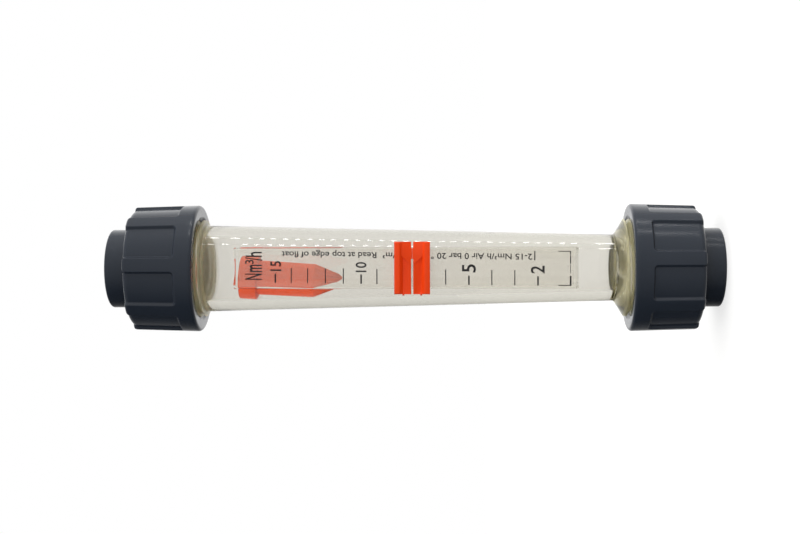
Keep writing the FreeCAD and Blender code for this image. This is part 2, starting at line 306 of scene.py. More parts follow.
def finished(piece, body, material, replaces=None, sharp=math.radians(32)):
    """Smooth shading between sharp edges, the material, the fixed frame's body, and the solid it
    replaces hidden.
    """
    mesh = piece.data
    mesh.shade_smooth()
    mesh.set_sharp_from_angle(angle=sharp)
    mesh.materials.clear()
    mesh.materials.append(material)
    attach(piece, body)
    if replaces:
        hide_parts(replaces)


def coated(node, material):
    """Gives a solid of the fixed frame its finish."""
    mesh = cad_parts[node].data
    mesh.materials.clear()
    mesh.materials.append(material)


def softened_copy(name, node, width):
    """Copy of a solid of the fixed frame with its hard edges rounded by this width."""
    flat, hard_from = math.radians(0.5), math.radians(20)
    work = bmesh.new()
    work.from_mesh(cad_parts[node].data)
    bmesh.ops.remove_doubles(work, verts=work.verts, dist=WELD)
    bmesh.ops.dissolve_limit(work, angle_limit=flat, verts=work.verts, edges=work.edges)
    hard = [edge for edge in work.edges
            if len(edge.link_faces) == 2 and edge.calc_face_angle() > hard_from]
    bmesh.ops.bevel(work, geom=hard, offset=width, segments=2, profile=0.5, affect="EDGES",
                    clamp_overlap=True)
    mesh = bpy.data.meshes.new(name)
    work.to_mesh(mesh)
    work.free()
    return placed(name, mesh)


# ---- material helpers ----

def linear(code):
    """Linear red, green, blue and 1 from an sRGB hex colour."""
    parts = [int(code[i:i + 2], 16) / 255 for i in (0, 2, 4)]
    return tuple(p / 12.92 if p <= 0.04045 else ((p + 0.055) / 1.055) ** 2.4
                 for p in parts) + (1.0,)


def scaled(colour, factor):
    """A linear colour made brighter or darker, at most 1 in any part."""
    return tuple(min(1.0, part * factor) for part in colour[:3]) + (1.0,)


def add_node(tree, kind, values=None, links=None, **settings):
    """Adds a node with its settings, its sockets' values and its links."""
    node = tree.nodes.new(kind)
    for name, value in settings.items():
        setattr(node, name, value)
    for socket, value in (values or {}).items():
        node.inputs[socket].default_value = value
    for socket, source in (links or {}).items():
        tree.links.new(source, node.inputs[socket])
    return node


def calculated(tree, operation, *terms):
    """What a math node makes of its terms, each a number or another node's output."""
    node = add_node(tree, "ShaderNodeMath", operation=operation)
    for socket, term in zip(node.inputs, terms):
        if isinstance(term, bpy.types.NodeSocket):
            tree.links.new(term, socket)
        else:
            socket.default_value = term
    return node.outputs[0]


def mapped(tree, value, low, high, new_low, new_high):
    """The value carried from one range over to the other, and held at its ends."""
    node = add_node(tree, "ShaderNodeMapRange", {
        "From Min": low, "From Max": high, "To Min": new_low, "To Max": new_high}, {"Value": value})
    return node.outputs["Result"]


def mixed(tree, factor, first, second, kind="FLOAT"):
    """First where the factor is 0, second where it is 1; each a value or a node's output."""
    values, links = {}, {"Factor": factor}
    for socket, term in (("A", first), ("B", second)):
        (links if isinstance(term, bpy.types.NodeSocket) else values)[socket] = term
    return add_node(tree, "ShaderNodeMix", values, links, data_type=kind).outputs["Result"]


def new_material(name):
    """An empty node material and its tree."""
    material = bpy.data.materials.new(name)
    material.use_nodes = True
    material.node_tree.nodes.clear()
    return material, material.node_tree


def place_on_piece(tree):
    """Where each spot lies on its piece, in metres."""
    return add_node(tree, "ShaderNodeTexCoord").outputs["Object"]


def surfaced(tree, shader, volume=None):
    """Ends the material with this surface, and with a volume inside it."""
    links = {"Surface": shader.outputs[0]}
    if volume:
        links["Volume"] = volume.outputs[0]
    add_node(tree, "ShaderNodeOutputMaterial", None, links)


def mm_noise(tree, place, size, detail=2.0, roughness=0.5):
    """Noise whose lumps are about size millimetres across."""
    values = {"Scale": 1 / (size * MM), "Detail": detail, "Roughness": roughness}
    return add_node(tree, "ShaderNodeTexNoise", values, {"Vector": place}).outputs["Fac"]


DULL_FROM = 2.0  # how far from a thread, coming from the middle, the plastic turns dull
MILK = 2.7  # share of spread light in the threads, for each unit of roughness they add


def clear_polyamide():
    """Clear polyamide, injection moulded and left as it comes from the polished mould.

    High gloss, a faint straw tint in thick places, slow waves where the melt flowed. The threads
    come from a duller part of the mould, so light spreads in them.
    """
    tube = bpy.context.scene.rotameter.tube
    material, tree = new_material("Clear polyamide, moulded")
    place = place_on_piece(tree)
    waves = mm_noise(tree, place, 9.0, 1.0)
    specks = mm_noise(tree, place, 0.7, 3.0)
    smear = mapped(tree, specks, 0.55, 0.75, 0.012, 0.04)
    height = add_node(tree, "ShaderNodeSeparateXYZ", None, {"Vector": place}).outputs["Z"]
    from_middle = calculated(tree, "ABSOLUTE", calculated(tree, "SUBTRACT", height, ALONG / 2 * MM))
    reach = (ALONG / 2 - THREAD_END) * MM
    dull = mapped(tree, from_middle, reach - DULL_FROM * MM, reach, 0.0, tube.thread_roughness)
    rough = calculated(tree, "ADD", smear, dull)
    bump = add_node(tree, "ShaderNodeBump", {"Strength": 0.005, "Distance": 0.25 * MM},
                    {"Height": waves})
    surface = add_node(tree, "ShaderNodeBsdfPrincipled",
                       {"Base Color": linear(tube.tint), "IOR": 1.57, "Transmission Weight": 1.0},
                       {"Roughness": rough, "Normal": bump.outputs["Normal"]})
    front = add_node(tree, "ShaderNodeBsdfDiffuse", {"Color": linear(tube.frost)})
    back = add_node(tree, "ShaderNodeBsdfTranslucent", {"Color": linear(tube.frost)})
    milk = add_node(tree, "ShaderNodeMixShader", {"Fac": 0.5},
                    {1: front.outputs[0], 2: back.outputs[0]})
    frosted = add_node(tree, "ShaderNodeMixShader", None, {
        "Fac": calculated(tree, "MULTIPLY", dull, MILK), 1: surface.outputs[0], 2: milk.outputs[0]})
    depth = add_node(tree, "ShaderNodeVolumeAbsorption",
                     {"Color": linear(tube.depth_tint), "Density": 60.0})
    surfaced(tree, frosted, depth)
    return material


def polyester_film():
    """Clear polyester film, cast and matt-coated for printing: a thin haze with a soft sheen."""
    material, tree = new_material("Polyester film, cast")
    haze = mm_noise(tree, place_on_piece(tree), 1.5, 3.0)
    surfaced(tree, add_node(tree, "ShaderNodeBsdfPrincipled",
                            {"Base Color": linear("E6DCCC"), "IOR": 1.5, "Alpha": 0.13},
                            {"Roughness": mapped(tree, haze, 0.0, 1.0, 0.22, 0.36)}))
    return material


def printing_ink():
    """Black screen-printing ink: thin, matt, a little uneven where the screen let less through."""
    material, tree = new_material("Screen-printing ink, black")
    grain = mm_noise(tree, place_on_piece(tree), 0.25)
    ink = linear(bpy.context.scene.rotameter.scale.ink)
    shade = mixed(tree, grain, ink, scaled(ink, 2.6), "RGBA")
    surfaced(tree, add_node(tree, "ShaderNodeBsdfPrincipled", {"IOR": 1.5, "Roughness": 0.55},
                            {"Base Color": shade}))
    return material


def moulded_plastic(name, code, ior, roughness, grain, spread, flecks=None, shine=0.5):
    """A coloured plastic as it leaves the mould, or the one made earlier under this name.

    grain is the mould's spark-eroded texture in millimetres, spread how much the colour drifts,
    and flecks a lighter colour for dust and small scuffs. shine scales the gloss.
    """
    made = bpy.data.materials.get(name)
    if made:
        return made
    material, tree = new_material(name)
    place = place_on_piece(tree)
    drift = mm_noise(tree, place, 12.0, 3.0)
    texture = mm_noise(tree, place, grain, 4.0, 0.6)
    base = linear(code)
    colour = mixed(tree, drift, scaled(base, 1 - spread), scaled(base, 1 + spread), "RGBA")
    if flecks:
        dust = mm_noise(tree, place, 0.9, 5.0, 0.7)
        where = mapped(tree, dust, 0.68, 0.78, 0.0, 0.5)
        colour = mixed(tree, where, colour, linear(flecks), "RGBA")
    gloss = mapped(tree, drift, 0.0, 1.0, roughness - 0.06, roughness + 0.08)
    bump = add_node(tree, "ShaderNodeBump", {"Strength": 0.05, "Distance": 0.03 * MM},
                    {"Height": texture})
    surfaced(tree, add_node(
        tree, "ShaderNodeBsdfPrincipled", {"IOR": ior, "Specular IOR Level": shine},
        {"Base Color": colour, "Roughness": gloss, "Normal": bump.outputs["Normal"]}))
    return material


def grey_pvc():
    """Unplasticised PVC, injection moulded: dark blue-grey, satin, with dust in its fine grain."""
    code = bpy.context.scene.rotameter.unions.colour
    return moulded_plastic("PVC-U grey, moulded", code, 1.54, 0.22, 0.35, 0.10, "6A6E74")


def orange_acetal():
    """Acetal, injection moulded: strong orange-red, smooth, semi-gloss."""
    code = bpy.context.scene.rotameter.sliders.colour
    return moulded_plastic("Acetal orange, moulded", code, 1.48, 0.36, 0.5, 0.05, shine=0.25)


def orange_pvdf():
    """PVDF, turned and polished: softer orange with a waxy gloss."""
    code = bpy.context.scene.rotameter.float_piece.colour
    return moulded_plastic("PVDF orange, turned", code, 1.42, 0.5, 0.4, 0.04, shine=0.15)


def white_pvdf():
    """PVDF in its natural colour, moulded: off-white and slightly waxy."""
    code = bpy.context.scene.rotameter.float_piece.stop_colour
    return moulded_plastic("PVDF natural, moulded", code, 1.42, 0.42, 0.4, 0.04)


def black_rubber():
    """EPDM rubber, compression moulded: near black and matt."""
    return moulded_plastic("EPDM rubber, moulded", "17181A", 1.52, 0.62, 0.2, 0.10)


def nickelled_iron():
    """Iron core, nickel-plated over a ground surface: grey metal with fine marks round it."""
    material, tree = new_material("Iron, nickel-plated")
    marks = mm_noise(tree, place_on_piece(tree), 0.2, 3.0)
    surfaced(tree, add_node(
        tree, "ShaderNodeBsdfPrincipled", {"Base Color": linear("A9A7A1"), "Metallic": 1.0},
        {"Roughness": mapped(tree, marks, 0.0, 1.0, 0.25, 0.45)}))
    return material


# ---- union thread, shared by tube and nuts ----

CREST_LOW = 33.08  # height of a crest at +X on the lower thread
CREST_HIGH = 176.18  # and on the upper one
CREST_FLAT = 1 / 6  # share of the pitch that is flat on a crest, and in a root
FLANKS = 2 / 3  # share that the two flanks take


def thread_groove(angles, heights, crest):
    """How deep the right-hand thread is cut: 0 on a crest, 1 in a root, with rounded tops."""
    pitch = bpy.context.scene.rotameter.tube.thread_pitch / MM
    turns = (heights - crest) / pitch - angles / (2 * math.pi)
    across = turns - np.floor(turns)
    flank = np.clip((2 * np.minimum(across, 1 - across) - CREST_FLAT) / FLANKS, 0, 1)
    return 0.55 * flank + 0.45 * soft_step(flank)


def from_lower_end(heights, upper):
    """Heights counted from the socket end that a piece belongs to."""
    return ALONG - heights if upper else heights


# ---- measuring tube ----

FLARE_ANGLE = math.radians(57)  # slope of the lower flare, from the tube's axis
FLARE_TOP = 37.0  # height that the lower flare ends below
SHOULDER = 0.35  # height of the nearly square shoulder under the upper thread
CHAMFER = 1.0  # at the ends of the tube
STEP_LOW, STEP_HIGH = 29.02, 180.98  # heights where the bore widens to the seats of the stops
BORE_LOW, BORE_HIGH = 7.8, 11.55  # radius of the bore there
SEAT_LOW, SEAT_HIGH = 10.4, 12.0  # radius of the two seats
SEAT_EDGE = 0.2  # their broken edges


def tube_outline():
    """Outer and inner outline of the tube, from its lower gasket face up and back down."""
    tube = bpy.context.scene.rotameter.tube
    crest, low, high = tube.crest_radius / MM, tube.low_radius / MM, tube.high_radius / MM
    top = ALONG - GASKET
    low_flare = THREAD_END + (crest - low) / math.tan(FLARE_ANGLE)
    high_flare = ALONG - THREAD_END - SHOULDER
    outer = rounded([
        (crest - CHAMFER, GASKET), (crest, GASKET + CHAMFER), (crest, THREAD_END), (low, low_flare),
        (high, high_flare), (crest, ALONG - THREAD_END), (crest, top - CHAMFER),
        (crest - CHAMFER, top),
    ], [0.0, 0.3, 1.2, 0.3, 0.3, 0.0])
    inner = [
        (SEAT_HIGH + SEAT_EDGE, top), (SEAT_HIGH, top - SEAT_EDGE), (SEAT_HIGH, STEP_HIGH),
        (BORE_HIGH, STEP_HIGH), (BORE_LOW, STEP_LOW),
        (SEAT_LOW, STEP_LOW), (SEAT_LOW, GASKET + SEAT_EDGE), (SEAT_LOW + SEAT_EDGE, GASKET),
    ]
    fine, coarse, plain, inside = tube.thread_pitch / MM / 14, 0.7, 12.0, 20.0

    def longest(height):
        near = from_lower_end(height, height > ALONG / 2)
        if near < THREAD_END + 0.5:
            return fine
        return coarse if near < FLARE_TOP else plain

    return divided(outer, longest), divided(inner, lambda height: inside)


def tube_mesh():
    """The turned form of the tube with both threads cut into it."""
    tube = bpy.context.scene.rotameter.tube
    crest, depth = tube.crest_radius / MM, tube.thread_depth / MM
    gone, run_out = THREAD_END + 0.15, 0.9  # where the thread has gone, and over what length
    outer, inner = tube_outline()
    angles = np.linspace(0, 2 * math.pi, 192, endpoint=False)
    heights, radii = turned(outer + inner, angles)
    count = len(outer)
    rows = heights[:count, None]
    for upper, crest_height in ((False, CREST_LOW), (True, CREST_HIGH)):
        fade = soft_step((gone - from_lower_end(rows, upper)) / run_out)
        cut = crest - depth * fade * thread_groove(angles, rows, crest_height)
        radii[:count] = np.minimum(radii[:count], cut)
    return ring_mesh("measuring_tube_threaded", radii, heights, angles)


RAIL_LOW, RAIL_HIGH = 49.0, 164.0  # ends of the rail at its lips
RAIL_FRONT, RAIL_BACK = -15.0, -13.7  # its front face and the back of its lips
RAIL_PAST = -16.3  # well in front of it, where the cutter for its ends stops
RAIL_SLOPE = 1.9  # how far that cutter slopes in on its way from the back of the lips
RAIL_WIDE, RAIL_NECK = 7.1, 6.6  # half widths over the lips and behind them
RAIL_ROOT_LOW, RAIL_ROOT_HIGH = -8.8, -12.0  # root inside the tube wall at its lower and upper end
RAIL_ENDS = -8.0  # how deep the cutter reaches into the tube
FILM = 0.014  # thickness of the film
FILM_GAP = 0.002  # left between layers, so that no two faces coincide


def rail_section(root, height):
    """Loop round the dovetail rail, front corners rounded, back to its root in the tube wall."""
    front = RAIL_FRONT + FILM + FILM_GAP
    half = rounded([(0.0, front), (RAIL_WIDE, front), (RAIL_NECK, RAIL_BACK), (RAIL_NECK, root)],
                   [0.22, 0.15], 4)
    return [(x, y, height) for x, y in half + [(-x, y) for x, y in reversed(half[1:])]]


def rail_side(x):
    """Loop round the rail seen from its side, with both ends sloping back to the front."""
    return [(x, RAIL_ENDS, RAIL_LOW), (x, RAIL_BACK, RAIL_LOW),
            (x, RAIL_PAST, RAIL_LOW + RAIL_SLOPE), (x, RAIL_PAST, RAIL_HIGH - RAIL_SLOPE),
            (x, RAIL_BACK, RAIL_HIGH), (x, RAIL_ENDS, RAIL_HIGH)]


def build_measuring_tube():
    """The threaded tube in one with its dovetail rail, which is cut to its sloping ends first."""
    spare, wide = 0.5, 9.0  # the rail starts this much too long, and its cutter is this half width
    piece = placed("measuring_tube_threaded", tube_mesh())
    rail = placed("rail_tool", loft_mesh("rail_tool", rail_section(RAIL_ROOT_LOW, RAIL_LOW - spare),
                                         rail_section(RAIL_ROOT_HIGH, RAIL_HIGH + spare)))
    side = placed("side_tool", loft_mesh("side_tool", rail_side(-wide), rail_side(wide)))
    carved(rail, side, "INTERSECT")
    carved(piece, rail, "UNION")
    finished(piece, "tube", clear_polyamide(), "measuring_tube", math.radians(25))


# ---- scale ----

SKEW = 0.0125  # the print lies slightly askew: shift across the tube per millimetre along it
SKEW_CENTRE = 106.0  # height at which nothing is shifted
FIGURES = (  # text, lower and upper edge along the tube, left and right edge across it
    ("15", 147.80, 151.40, -1.42, 1.86),
    ("10", 119.31, 122.94, -1.52, 1.81),
    ("5", 83.00, 87.60, -1.27, 1.43),
    ("2", 60.30, 64.90, -1.37, 1.20),
    ("N", 154.26, 159.93, -4.45, -2.40),
    ("m", 154.26, 158.40, -1.87, 0.59),
    ("3", 156.98, 159.87, 0.82, 2.18),
    ("/", 154.09, 159.84, 1.91, 3.01),
    ("h", 154.26, 159.67, 3.17, 4.87),
)
THICK_TICKS = (149.75, 121.11, 85.32, 62.51)  # heights of the ticks beside figures
THIN_TICKS = (144.43, 138.95, 133.01, 127.04, 115.85, 108.27, 100.63, 93.01, 77.75, 70.16)
THICK_ENDS, THIN_ENDS = (-5.38, -2.32), (-5.40, -0.38)  # left and right end of each kind of tick
LEGEND = "2-15 Nm³/h Air 0 bar 20 °C  1.2 kg/m³  Read at top edge of float"
LEGEND_PLACE = (3.03, 5.78, 64.4, 147.6)  # left and right edge, lower and upper edge
RULES = (  # the rule under the legend and the corner marks below it, placed in the same way
    (2.98, 6.03, 63.35, 63.75),
    (5.90, 6.15, 51.6, 55.8), (4.98, 6.08, 51.6, 51.95), (1.98, 4.68, 51.6, 51.95),
    (-1.22, 1.58, 51.68, 51.88), (-5.37, -2.12, 51.5, 52.05), (-5.37, -5.07, 51.6, 55.8),
)
STROKE = 0.012  # how much heavier the typeface is printed than drawn, for letters one unit high
FILM_CORNER = 0.4  # corner radius of the film


def text_shape(text):
    """Points and faces of a flat text, one unit each way."""
    curve = bpy.data.curves.new("text_tool", "FONT")
    curve.body = text
    curve.resolution_u = 4
    curve.offset = STROKE
    tool = placed("text_tool", curve)
    mesh = evaluated_mesh(tool)
    points = np.array([v.co for v in mesh.vertices])[:, :2]
    faces = [tuple(p.vertices) for p in mesh.polygons]
    bpy.data.objects.remove(tool)
    bpy.data.meshes.remove(mesh)
    low, high = points.min(0), points.max(0)
    return (points - low) / (high - low), faces


def bar_shape():
    """Points and faces of a flat bar, one unit each way."""
    return np.array([(0, 0), (1, 0), (1, 1), (0, 1)], float), [(0, 1, 2, 3)]


def print_parts():
    """Every printed mark as (shape, left, right, lower, upper, lengthways)."""
    scale = bpy.context.scene.rotameter.scale
    thin, thick = scale.tick_width / MM / 2, scale.figure_tick_width / MM / 2
    parts = [(text_shape(text), left, right, low, high, False)
             for text, low, high, left, right in FIGURES]
    parts += [(bar_shape(), *THICK_ENDS, z - thick, z + thick, False) for z in THICK_TICKS]
    parts += [(bar_shape(), *THIN_ENDS, z - thin, z + thin, False) for z in THIN_TICKS]
    parts.append((text_shape(LEGEND), *LEGEND_PLACE, True))
    return parts + [(bar_shape(), *place, False) for place in RULES]


def build_film():
    """The clear film on the rail's front, with rounded corners."""
    low, high = (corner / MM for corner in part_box("scale_film"))
    corners = [(low.x, low.z), (high.x, low.z), (high.x, high.z), (low.x, high.z)]
    loop = rounded(corners + corners[:2], [FILM_CORNER] * 4, 4)[1:-1]
    front, back = ([(x, y, z) for x, z in loop] for y in (low.y, low.y + FILM))
    film = placed("scale_film_cut", loft_mesh("scale_film_cut", front, back))
    finished(film, "tube", polyester_film(), "scale_film")


def build_print():
    """The black marks, raised on the front of the film."""
    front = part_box("scale_film")[0].y / MM - FILM_GAP
    thickness = bpy.context.scene.rotameter.scale.ink_height
    points, faces = [], []
    for (flat, corners), left, right, low, high, lengthways in print_parts():
        start = len(points)
        for u, v in flat:
            if lengthways:  # reads upwards along the tube, tops to the left
                x, z = right - v * (right - left), low + u * (high - low)
            else:
                x, z = left + u * (right - left), low + v * (high - low)
            x += SKEW * (z - SKEW_CENTRE)
            points.append((x * MM, front * MM, z * MM))
        faces += [tuple(start + i for i in face) for face in corners]
    mesh = bpy.data.meshes.new("scale_print")
    mesh.from_pydata(points, [], faces)
    work = bmesh.new()
    work.from_mesh(mesh)
    bmesh.ops.remove_doubles(work, verts=work.verts, dist=WELD)
    for face in work.faces:
        if face.normal.y > 0:
            face.normal_flip()
    raised = bmesh.ops.extrude_face_region(work, geom=work.faces[:], use_keep_orig=True)
    tops = [item for item in raised["geom"] if isinstance(item, bmesh.types.BMVert)]
    bmesh.ops.translate(work, verts=tops, vec=(0, -thickness, 0))
    bmesh.ops.recalc_face_normals(work, faces=work.faces)
    work.to_mesh(mesh)
    work.free()
    finished(placed("scale_print", mesh), "tube", printing_ink())


def build_scale():
    """The film and its print."""
    build_film()
    build_print()


# ---- setpoint sliders ----

def build_sliders():
    """Both setpoint sliders, with the edges that a mould leaves."""
    width = bpy.context.scene.rotameter.sliders.edge_round
    material = orange_acetal()
    for node in ("upper_marker", "lower_marker"):
        piece = softened_copy(node + "_moulded", node, width)
        finished(piece, node, material, node, math.radians(40))


# ---- float and stops ----

TIP_HEIGHT = 0.3  # corners of the float this near its lowest one belong to the tip
TIP_SHARE = 0.35  # what is left of the tip's width, so that the cone runs out to a sharper point


def build_float():
    """The float with a sharper tip, and the finish of its plug, its core and the two stops."""
    width = bpy.context.scene.rotameter.float_piece.edge_round
    piece = softened_copy("float_body_turned", "float_body", width)
    lowest = min(v.co.z for v in piece.data.vertices)
    tip = [v for v in piece.data.vertices if v.co.z < lowest + TIP_HEIGHT * MM]
    centre = sum((v.co for v in tip), Vector()) / len(tip)
    for vertex in tip:
        vertex.co = centre + (vertex.co - centre) * TIP_SHARE
    finished(piece, "float", orange_pvdf(), "float_body", math.radians(30))
    coated("float_plug", orange_pvdf())
    coated("float_core", nickelled_iron())
    for node in ("upper_stop", "lower_stop"):
        coated(node, white_pvdf())


# ---- union nuts ----

LOBES = 8
LOBE_ANGLE = 12.5  # degrees that a lobe takes
LOBE_PHASES = {False: 8.2, True: 3.2}  # first lobe from +X on the lower nut and the upper one
LOBE_RADIUS = 21.2  # where widths round the nut are measured
NUT_END = 7.7  # socket end of each nut, from the socket end of the meter
NUT_MOUTH = 31.1  # its other end, from there too
NUT_SEAT, NUT_LIP = 13.3, 13.7  # height of the inner shoulder, and radius of the hole below it
NUT_LOW, NUT_HIGH = 21.05, 21.7  # radius over the lobes at these two ends
NUT_THREAD_LOW, NUT_THREAD_HIGH = 15.0, 30.3  # heights that its thread lies between
NUT_FADE_LOW, NUT_FADE_HIGH = 0.9, 0.8  # how soon it gets to its full depth there
MOUTH_CHAMFER, LIP_CHAMFER = 1.1, 0.3  # inside the mouth, and round the hole in the other end
POCKET_TOP = 25.2  # closed end of each grip pocket, from the socket end of the meter
POCKET_LIP = 0.12  # how far the sloping wall reaches out past the pocket's outline
POCKET_END_ROUND = 2.0  # where the pocket's floor runs out over the nut's end
POCKET_END_CUT = 0.15  # how much of that rounding lies past the end
LOBE_END_ROUND = 1.2  # corners of each lobe there
WALL_STEPS = (  # places across a pocket's wall, in millimetres round the nut
    -1.3, -1.0, -0.8, -0.65, -0.52, -0.4, -0.28, -0.16, -0.04, 0.08, 0.2, 0.4, 0.65, 0.95, 1.3)


def nut_angles(phase):
    """Angles round the nut, closer together at the walls of the pockets."""
    pitch = 360 / LOBES
    half = (pitch - LOBE_ANGLE) / 2
    wide_step, clear = 2.5, 3.7  # degrees between plain angles, and from them to a wall
    wall = [math.degrees(mm / LOBE_RADIUS) for mm in WALL_STEPS]
    offsets = [a for a in np.arange(-pitch / 2, pitch / 2, wide_step) if abs(abs(a) - half) > clear]
    offsets += [half + a for a in wall] + [-half - a for a in wall]
    pockets = [phase + pitch * (i + 0.5) for i in range(LOBES)]
    return np.radians(np.array(sorted(centre + a for centre in pockets for a in offsets)))


def pocket_share(phase, angles, heights):
    """How far each place lies in a grip pocket: 0 outside, 1 on its floor."""
    unions = bpy.context.scene.rotameter.unions
    wall, corner = unions.pocket_wall / MM, unions.pocket_corner / MM
    pitch = 2 * math.pi / LOBES
    centred = (angles - math.radians(phase)) % pitch - pitch / 2
    half_width = LOBE_RADIUS * (pitch - math.radians(LOBE_ANGLE)) / 2
    into_lobe = np.abs(centred) * LOBE_RADIUS - half_width
    side = into_lobe + corner
    end = heights - POCKET_TOP + corner
    round_corner = np.hypot(np.maximum(side, 0), np.maximum(end, 0))
    inside = round_corner + np.minimum(np.maximum(side, end), 0) - corner
    away, above = LOBE_END_ROUND - into_lobe, LOBE_END_ROUND - (heights - NUT_END)
    cut = LOBE_END_ROUND - np.hypot(away, above)
    inside = np.where((away > 0) & (above > 0), np.minimum(inside, cut), inside)
    return soft_step((POCKET_LIP - inside) / wall)


def nut_outline(bore):
    """Outline of the nut's outside, from the hole in its end to the mouth, and of its inside."""
    line = rounded([
        (NUT_LIP + LIP_CHAMFER, NUT_END), (NUT_LOW, NUT_END), (NUT_HIGH, NUT_MOUTH),
        (bore + MOUTH_CHAMFER, NUT_MOUTH), (bore, NUT_MOUTH - MOUTH_CHAMFER), (bore, NUT_SEAT),
        (NUT_LIP, NUT_SEAT), (NUT_LIP, NUT_END + LIP_CHAMFER),
    ], [1.2, 1.2, 0.25, 0.0, 0.0, 0.0])
    thread_step = bpy.context.scene.rotameter.tube.thread_pitch / MM / 9

    def outside(height):
        if abs(height - POCKET_TOP) < 1.4:
            return 0.14
        return 0.3 if height < NUT_END + 2.2 else 1.3

    def inside(height):
        return thread_step if NUT_THREAD_LOW - 1.0 < height < NUT_THREAD_HIGH + 0.2 else 3.0

    rim = bore + MOUTH_CHAMFER + 0.1
    split = next(i for i, point in enumerate(line) if point[0] < rim and point[1] > POCKET_TOP)
    outer = line[:1]
    for start, end in zip(line, line[1:split + 1]):
        outer += stepped(start, end, outside)
    return outer, divided(line[split:], inside)[1:], rim


def nut_mesh(upper):
    """Lobed nut with soft pockets outside and the union thread inside."""
    tube, unions = bpy.context.scene.rotameter.tube, bpy.context.scene.rotameter.unions
    depth, deep = tube.thread_depth / MM, unions.pocket_depth / MM
    bore = tube.crest_radius / MM + CREST_TO_NUT
    outer, inner, rim = nut_outline(bore)
    phase = LOBE_PHASES[upper]
    angles = nut_angles(phase)
    heights, radii = turned(outer + inner, angles)
    count = len(outer)

    # grip pockets outside
    rows = heights[:count, None]
    near = np.maximum(POCKET_END_ROUND - POCKET_END_CUT - (rows - NUT_END), 0)
    run_out = POCKET_END_ROUND - np.sqrt(POCKET_END_ROUND ** 2 - near ** 2)
    draft = (rows - NUT_END) * (NUT_HIGH - NUT_LOW) / (NUT_MOUTH - NUT_END)
    floor = NUT_LOW + draft - deep - run_out
    sunk = pocket_share(phase, angles, rows) * np.maximum(radii[:count] - floor, 0)
    radii[:count] -= np.where(radii[:count] > rim, sunk, 0)

    # thread inside, fading out before the mouth and above the seat
    actual = from_lower_end(heights, upper)
    rows = heights[count:, None]
    fade = soft_step((NUT_THREAD_HIGH - rows) / NUT_FADE_HIGH)
    fade *= soft_step((rows - NUT_THREAD_LOW) / NUT_FADE_LOW)
    crest_height = CREST_HIGH if upper else CREST_LOW
    ridge = depth * fade * thread_groove(angles, actual[count:, None], crest_height)
    on_bore = np.abs(radii[count:] - bore) < TINY
    radii[count:] -= np.where(on_bore, ridge, 0)
    return ring_mesh("union_nut", radii, actual, angles)


def build_union_nuts():
    """Both lobed nuts, each with its own turn of the lobes."""
    material = grey_pvc()
    for upper, end in ((False, "lower"), (True, "upper")):
        node = end + "_union_nut"
        finished(placed(node + "_moulded", nut_mesh(upper)), end + "_nut", material, node,
                 math.radians(38))


def build_union_ends():
    """The finish of the pipe sockets and of their O-rings."""
    for end in ("upper", "lower"):
        coated(end + "_union_end", grey_pvc())
        coated(end + "_o_ring", black_rubber())


# ---- stage ----

def build_camera():
    """The camera, with the meter lying across the picture and its wide end to the left."""
    stage = bpy.context.scene.rotameter.stage
    turn, roll = stage.camera_turn, stage.camera_roll
    right = Vector((0, math.sin(turn), -math.cos(turn)))
    up = Vector((1, 0, 0))
    ahead = Vector((0, math.cos(turn), math.sin(turn)))
    right, up = (right * math.cos(roll) - up * math.sin(roll),
                 up * math.cos(roll) + right * math.sin(roll))
    lens = bpy.data.cameras.new("camera")
    lens.lens = stage.lens
    lens.sensor_width = 36.0
    lens.clip_start = 0.01
    camera = placed("camera", lens)
    camera.matrix_world = Matrix.Translation(Vector(stage.camera_place)) @ Matrix(
        (right, up, -ahead)).transposed().to_4x4()
    bpy.context.scene.camera = camera


SKY_LEVEL, SKY_LEAST = 1.08, 0.05  # light from the sides and the least from anywhere
SKY_SLOPE, SKY_BEND = 0.65, 0.6  # how it grows towards +X: evenly, and with the cube of the way
GLOSS_LIGHT = 0.33  # share of that light that gloss finds
GLOSS_WHITE = 1.25  # and the white that it finds behind the meter
THROUGH_GAIN = 3.1  # for light that has come through the clear wall


def build_world():
    """White to look at and through; for lighting, bright on the +X side and dim on the other.

    Gloss finds white behind the meter too, but none on its -X side, as if a dark board hung there.
    """
    world = bpy.data.worlds.new("studio")
    bpy.context.scene.world = world
    world.use_nodes = True
    tree = world.node_tree
    tree.nodes.clear()
    way = add_node(tree, "ShaderNodeTexCoord").outputs["Generated"]
    axes = add_node(tree, "ShaderNodeSeparateXYZ", None, {"Vector": way}).outputs
    ray = add_node(tree, "ShaderNodeLightPath").outputs
    square = calculated(tree, "POWER", axes["X"], 2.0)
    slope = calculated(tree, "MULTIPLY_ADD", square, SKY_BEND, SKY_SLOPE)
    level = calculated(tree, "MULTIPLY_ADD", axes["X"], slope, SKY_LEVEL)
    lighting = calculated(tree, "MAXIMUM", level, SKY_LEAST)
    dim = calculated(tree, "MULTIPLY", lighting, GLOSS_LIGHT)
    behind = mapped(tree, axes["Y"], 0.0, 0.8, 0.0, GLOSS_WHITE)
    off_board = mapped(tree, axes["X"], -0.55, -0.05, 0.0, 1.0)
    white = calculated(tree, "MULTIPLY", behind, off_board)
    gloss = calculated(tree, "MAXIMUM", dim, white)
    light = mixed(tree, ray["Is Glossy Ray"], lighting, gloss)
    # makes up for what the clear wall takes from the light on the float behind it
    through = mapped(tree, ray["Diffuse Depth"], 0.0, 1.0, 1.0, THROUGH_GAIN)
    inside = mixed(tree, ray["Is Transmission Ray"], light, through)
    strength = mixed(tree, ray["Is Camera Ray"], inside, 1.0)
    glow = add_node(tree, "ShaderNodeBackground", {"Color": (1, 1, 1, 1)}, {"Strength": strength})
    add_node(tree, "ShaderNodeOutputWorld", None, {"Surface": glow.outputs[0]})


EYE_LIFT, THROUGH_LIFT = 0.72, 0.62  # glow of the floor to the eye, and through the clear plastic


